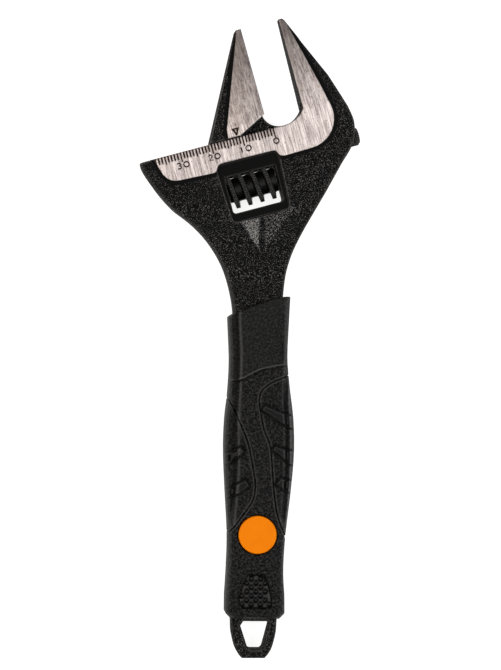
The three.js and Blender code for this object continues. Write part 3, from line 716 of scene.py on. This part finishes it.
def worm_piece(material):
    """The worm with fine knurls across the crest of its thread, and a root filled up a little."""
    worm = remesh(copy_of("adjusting_worm", "knurled_worm", material), WORM_VOXEL)
    to_row = np.array(HEAD.to_3x3())
    local = (positions(worm) - np.array(HEAD_ORIGIN)) @ to_row / MM
    level = local[:, 1] - WORM_AXIS
    radius = np.hypot(level, local[:, 2])
    angle = np.arctan2(local[:, 2], level)
    crest = np.clip((radius - WORM_RADIUS + KNURL_REACH[0]) / KNURL_REACH[1], 0, 1)
    groove = KNURL_DEPTH * crest * (0.5 + 0.5 * np.cos(KNURLS * angle))
    fill = ROOT_FILLET[1] * ridge(radius - WORM_ROOT, ROOT_FILLET[0])
    shrink = 1 + (fill - groove) / radius
    local[:, 1] = WORM_AXIS + level * shrink
    local[:, 2] *= shrink
    move_to(worm, local * MM @ to_row.T + np.array(HEAD_ORIGIN))
    shade(worm)
    return finish_piece(worm, "worm", "adjusting_worm")


# ---- Grip --------------------------------------------------------------------------------------

# The skin of the front and the back starts at this height over the middle plane, and the pattern
# rises at most RELIEF over it.
SKIN_LEVEL = 4.2
SKIN_FADE = 0.6
RELIEF = 0.2


def curve(points, steps=8):
    """Points of a smooth line through the given points."""
    known = np.array(points, float)
    padded = np.vstack([2 * known[0] - known[1], known, 2 * known[-1] - known[-2]])
    line = []
    for i in range(1, len(padded) - 2):
        a, b, c, d = padded[i - 1:i + 3]
        for t in np.arange(steps) / steps:
            bend = (2 * a - 5 * b + 4 * c - d) * t**2 + (3 * b - a - 3 * c + d) * t**3
            line.append(0.5 * (2 * b + (c - a) * t + bend))
    line.append(known[-1])
    return np.array(line)


def line_distance(places, line):
    """Distance in the x, y plane from each place to a line through points."""
    best = np.full(len(places), np.inf)
    for start, end in zip(line[:-1], line[1:]):
        along = end - start
        share = np.clip((places[:, :2] - start) @ along / (along @ along), 0, 1)
        away = places[:, :2] - start - share[:, None] * along
        best = np.minimum(best, np.linalg.norm(away, axis=1))
    return best


def closed(outline):
    return np.vstack([outline, outline[:1]])


def inside(places, outline):
    """True for each place inside a closed outline in the x, y plane."""
    x, y = places[:, 0], places[:, 1]
    result = np.zeros(len(places), bool)
    for (x0, y0), (x1, y1) in zip(outline, np.roll(outline, -1, axis=0)):
        if y0 != y1:
            result ^= ((y0 > y) != (y1 > y)) & (x < (x1 - x0) * (y - y0) / (y1 - y0) + x0)
    return result


def ridge(distance, width):
    """1 on a line and 0 away from it."""
    return np.exp(-((distance / width) ** 2))


def across(distance, profile):
    """A soft profile across a line, made of ridges given as their distance, width and size."""
    return sum(size * ridge(distance - offset, width) for offset, width, size in profile)


# Lines of the pattern in the handle frame, and the profiles across them: heights in millimetres, and
# tones above 0 where a line is painted light or below 0 where it is painted shade.
COLLAR_LINE = curve([(-10, 86), (-5.2, 87), (-3, 88.2), (0, 89.7), (3, 90.5), (6.8, 91.2), (10, 91.6)])
COLLAR_HEIGHT = [(0.2, 0.25, 0.2), (-0.45, 0.35, -0.35)]
COLLAR_LIGHT_AND_SHADE = [(0.15, 0.22, 0.6), (-0.5, 0.25, -0.8)]
COLLAR_SMOOTH = 0.45

CREASE_LEVELS = (112, 104, 93.6, 81, 71, 59, 48, 44)
LEFT_CREASE = curve(list(zip((-7.9, -7.6, -7.1, -7.3, -7.6, -7.3, -8.0, -8.4), CREASE_LEVELS)))
LEFT_LIP_HIGHLIGHT = [(-1.35, 0.4, 0.4)]
RIGHT_CREASE = curve(list(zip((8.9, 8.9, 8.9, 8.4, 9.0, 9.1, 8.6, 8.3), CREASE_LEVELS)))
RIGHT_LIP_HIGHLIGHTS = [(-0.95, 0.4, 0.25), (1.1, 0.35, 0.8)]
CREASE_HEIGHT = [(0, 0.6, -0.35)]
PAINTED_CREASE_SHADE = [(0, 0.55, -1)]
CREASE_REACH = 3

RIBS = [
    [(1.9, 78.7), (8.3, 76), (13, 74.4), (13, 70.6), (8.5, 72.3), (0.8, 77.3)],
    [(5.2, 66), (9, 64.8), (13, 64), (13, 58.6), (9.5, 60.8), (4.4, 64.8)],
    [(5.6, 54.2), (7.2, 56), (13, 54.5), (13, 50.5), (9, 52)],
    [(-5.5, 65.6), (-4.2, 64.3), (-8.3, 60.8), (-13, 58.5), (-13, 63), (-8.5, 64)],
    [(-5.4, 54.6), (-3.7, 55.4), (-2.5, 53.7), (-4, 52.4), (-5.8, 51.2), (-13, 48), (-13, 51.5), (-8, 53)],
]
RIB_HEIGHT = [(-0.25, 0.32, -0.45)]
RIB_LIGHT_AND_SHADE = [(0.3, 0.2, 0.4), (-0.2, 0.3, -1.2)]
RIB_RISE = 0.25
RIB_EDGE = 0.5

DOT_PAD = np.array([
    (-2.7, 25.7), (2.1, 25.7), (3.8, 22.4), (4.7, 18.9), (4.9, 16.3),
    (4.1, 15.4), (-3.7, 15.4), (-5, 16.4), (-5.4, 18.2), (-4.1, 22.4),
])
PAD_HEIGHT = [(0, 0.3, -0.2)]
PAD_RIM_SHADE = [(0, 0.2, -0.7)]
PAD_DEPTH = 0.2
PAD_SMOOTH = 0.9
DOT_ROWS = 7
DOT_COLUMNS = range(-2, 4)
DOT_TOP = 24.6
DOT_STEP = (2.88, 1.33)
DOT_SHIFTS = (-1.54, -0.1)
DOT_MARGIN = 0.45
DOT_RADIUS = 0.85
DOT_RISE = 0.4
DOT_LIGHT_AND_SHADE = [(0, 0.3, 0.4), (0.65, 0.25, -1)]
WEB_LIGHTER = 0.25


def dot_centres():
    """Staggered rows of dots that widen downwards with the pad."""
    centres = []
    for row in range(DOT_ROWS):
        for column in DOT_COLUMNS:
            x = DOT_SHIFTS[row % 2] + column * DOT_STEP[0]
            centres.append((x, DOT_TOP - row * DOT_STEP[1]))
    centres = np.array(centres)
    clear = line_distance(centres, closed(DOT_PAD)) > DOT_MARGIN
    return centres[inside(centres, DOT_PAD) & clear]


class Pattern:
    """The moulded pattern at places of the handle frame: height, tone of painted light and shade, and smoothness.
    """

    def __init__(self, places):
        self.places = places
        self.height = np.zeros(len(places))
        self.tone = np.zeros(len(places))
        self.smooth = np.zeros(len(places))
        self.collar()
        self.crease(LEFT_CREASE, LEFT_LIP_HIGHLIGHT)
        self.crease(RIGHT_CREASE, RIGHT_LIP_HIGHLIGHTS)
        for points in RIBS:
            self.rib(np.array(points))
        self.dot_pad()

    def collar(self):
        """The step at the collar's lower edge, with a painted highlight on its ridge and painted shade in the
        groove below; the collar itself is smoother than the grip.
        """
        edge = np.interp(self.places[:, 0], COLLAR_LINE[:, 0], COLLAR_LINE[:, 1])
        past = self.places[:, 1] - edge
        self.height += across(past, COLLAR_HEIGHT)
        self.tone += across(past, COLLAR_LIGHT_AND_SHADE)
        self.smooth[past > 0] = COLLAR_SMOOTH

    def crease(self, line, lip_highlights):
        """A soft valley beside a rounded edge, darkened as painted shade, with painted highlights on either side
        of it.
        """
        away = line_distance(self.places, line)
        edge = np.interp(self.places[:, 1], line[::-1, 1], np.abs(line[::-1, 0]))
        outside = np.abs(self.places[:, 0]) - edge
        near = (away < CREASE_REACH) & (self.places[:, 0] * line[0, 0] > 0)
        self.height += across(away, CREASE_HEIGHT)
        self.tone += near * across(outside, lip_highlights) + across(away, PAINTED_CREASE_SHADE)

    def rib(self, outline):
        """A smooth raised field in a groove, with a painted highlight along its rim and painted shade in the
        groove.
        """
        rim = line_distance(self.places, closed(outline))
        within = inside(self.places, outline)
        depth = np.where(within, rim, -rim)
        self.height += across(depth, RIB_HEIGHT) + within * RIB_RISE * np.clip(rim / RIB_EDGE, 0, 1)
        self.tone += across(depth, RIB_LIGHT_AND_SHADE)
        self.smooth[within] = 1

    def dot_pad(self):
        """The sunk thumb pad and its dots, with painted shade along the pad's rim and around each dot, painted
        light on the dots' tops, and lighter between the dots.
        """
        rim = line_distance(self.places, closed(DOT_PAD))
        within = inside(self.places, DOT_PAD)
        nearest = np.full(len(self.places), np.inf)
        for centre in dot_centres():
            nearest = np.minimum(nearest, np.hypot(*(self.places[:, :2] - centre).T))
        self.height += across(rim, PAD_HEIGHT) - within * PAD_DEPTH
        self.height += DOT_RISE * np.clip(1 - (nearest / DOT_RADIUS) ** 2, 0, 1)
        self.tone += across(rim, PAD_RIM_SHADE) + across(nearest, DOT_LIGHT_AND_SHADE)
        self.tone += WEB_LIGHTER * (within & (nearest > DOT_RADIUS))
        self.smooth[within] = PAD_SMOOTH


# Across a seam, by the distance from the other moulding; its tone is a painted highlight on the ridge beside the
# seam and a dark joint line in it.
SEAM_HEIGHT = [(0.7, 0.3, 0.18)]
SEAM_HIGHLIGHT_AND_JOINT = [(0.55, 0.2, 0.45), (0.15, 0.2, -0.9)]
SEAM_REACH = 2
SEAM_SWELL = 0.1
SEAM_FADE = (0.5, 0.2)
GRIP_VOXEL = 0.3


def seam(thing, others):
    """Distance in millimetres from each vertex to the nearest of the other pieces."""
    best = np.full(len(thing.data.vertices), np.inf)
    for other in others:
        tree = surface_tree(other.data)
        found = [tree.find_nearest(vertex.co, SEAM_REACH * MM)[3] for vertex in thing.data.vertices]
        best = np.minimum(best, [np.inf if gap is None else gap / MM for gap in found])
    return best


def grip_piece(node, name, material, others):
    """A moulding with its pattern on the front and the back, swollen a little to close its seams."""
    thing = remesh(copy_of(node, name, material), GRIP_VOXEL)
    gap = seam(thing, [frame["nodes"][other] for other in others])
    local = (positions(thing) - np.array(HANDLE_ORIGIN)) / MM
    normals = np.empty(local.size)
    thing.data.vertex_normals.foreach_get("vector", normals)
    normals = normals.reshape(-1, 3)
    side = np.sign(local[:, 2])
    facing = np.clip(2 * normals[:, 2] * side, 0, 1)
    skin = facing * np.clip((np.abs(local[:, 2]) - SKIN_LEVEL) / SKIN_FADE, 0, 1)
    pattern = Pattern(local)
    height = pattern.height + across(gap, SEAM_HEIGHT)
    # A painted highlight beside each seam, and a dark joint line in it.
    tone = pattern.tone + across(gap, SEAM_HIGHLIGHT_AND_JOINT)
    raised = np.minimum(height, RELIEF) - np.where(side < 0, RELIEF, 0)
    local[:, 2] += side * skin * raised
    swell = SEAM_SWELL * np.clip((SEAM_FADE[0] - gap) / SEAM_FADE[1], 0, 1)
    local += normals * swell[:, None]
    move_to(thing, local * MM + np.array(HANDLE_ORIGIN))
    # The line attribute holds the painted light and shade of the pattern, and the seams' highlights and dark
    # joints.
    for title, values in (("smooth", pattern.smooth), ("line", np.clip(tone * skin, -1, 1))):
        thing.data.attributes.new(title, "FLOAT", "POINT").data.foreach_set("value", values)
    shade(thing)
    return finish_piece(thing, "handle", node)


BADGE_ROUND = 0.12


def badge_piece(node, name, material):
    badge = copy_of(node, name, material)
    round_edges(badge, BADGE_ROUND)
    shade_machined(badge)
    return finish_piece(badge, "handle", node)


# ---- Camera, light and floor -------------------------------------------------------------------

# Lengths in metres and angles in degrees; the sensor's width is in millimetres.
SENSOR_WIDTH = 36
CLIP = (0.01, 20)
CAMERA_DISTANCE = 0.8
LEAN_LEFT = 4.6
LEAN_DOWN = 0.9
ROLL = 0.87
VIEW_HEIGHT = 0.2103
AIM = HANDLE_ORIGIN + Vector((-2.41, 100.41, 0)) * MM

# Name, place, width, height, power in watts and tint.
WHITE = (1, 1, 1)
WARM = (1, 0.93, 0.86)
SOFTBOXES = [
    ("sky_box", (0.0, -0.12, 1.5), 0.36, 0.95, 1.3, WHITE),
    ("left_box", (-0.62, 0.05, 1.3), 1.2, 0.6, 9.5, WARM),
    ("right_box", (0.62, 0.05, 1.3), 1.2, 0.6, 9.5, WHITE),
]
WORLD_STRENGTH = 0.12
FLOOR_HALF = 4


def make_camera():
    data = bpy.data.cameras.new("camera")
    data.sensor_width = SENSOR_WIDTH
    data.lens = data.sensor_width * CAMERA_DISTANCE / VIEW_HEIGHT
    camera = add_object("camera", data)
    turn = Matrix.Identity(4)
    for angle, axis in ((-LEAN_LEFT, "Y"), (-LEAN_DOWN, "X"), (ROLL, "Z")):
        turn = turn @ Matrix.Rotation(math.radians(angle), 4, axis)
    camera.matrix_world = Matrix.Translation(AIM) @ turn @ Matrix.Translation((0, 0, CAMERA_DISTANCE))
    data.clip_start, data.clip_end = CLIP
    bpy.context.scene.camera = camera


def softbox(name, place, width, height, power, tint):
    data = bpy.data.lights.new(name, "AREA")
    data.shape = "RECTANGLE"
    data.size = width
    data.size_y = height
    data.energy = power
    data.color = tint
    light = add_object(name, data)
    light.location = place
    light.rotation_euler = (-Vector(place)).to_track_quat("-Z", "Y").to_euler()


def make_light():
    world = bpy.data.worlds.new("studio")
    world.use_nodes = True
    background = world.node_tree.nodes["Background"]
    background.inputs["Color"].default_value = (1, 1, 1, 1)
    background.inputs["Strength"].default_value = WORLD_STRENGTH
    bpy.context.scene.world = world
    for settings in SOFTBOXES:
        softbox(*settings)
    bpy.context.scene.view_settings.view_transform = "Standard"


def make_floor(material):
    work = bmesh.new()
    bmesh.ops.create_grid(work, x_segments=8, y_segments=8, size=FLOOR_HALF)
    mesh = bpy.data.meshes.new("floor")
    work.to_mesh(mesh)
    work.free()
    mesh.materials.append(material)
    floor = add_object("floor", mesh)
    floor.location.z = CAD_BOX[0].z


# ---- The scene ---------------------------------------------------------------------------------

make_camera()
make_light()
make_floor(floor_paint())

steel = forged_steel()
paint = engraving_paint()
scale = (scale_ticks, scale_numbers)
steel_piece("wrench_body", "forged_body", "handle", "black_steel", steel, paint, *scale)
steel_piece("movable_jaw", "sliding_jaw", "jaw", "bright_steel", steel, paint, arrow)
black = smooth_black()
worm_piece(black)
keep_node("worm_pin", black)
keep_node("worm_spring", spring_steel())
core_plastic = moulded_grip("grip_plastic", 0.016)
panel_rubber = moulded_grip("grip_rubber", 0.014)
PANELS = ["grip_panel_right", "grip_panel_left"]
grip_piece("grip_core", "moulded_core", core_plastic, PANELS)
for panel in PANELS:
    grip_piece(panel, "moulded_" + panel, panel_rubber, ["grip_core"])
orange = orange_plastic()
badge_piece("front_badge", "front_disc", orange)
badge_piece("back_badge", "back_disc", orange)
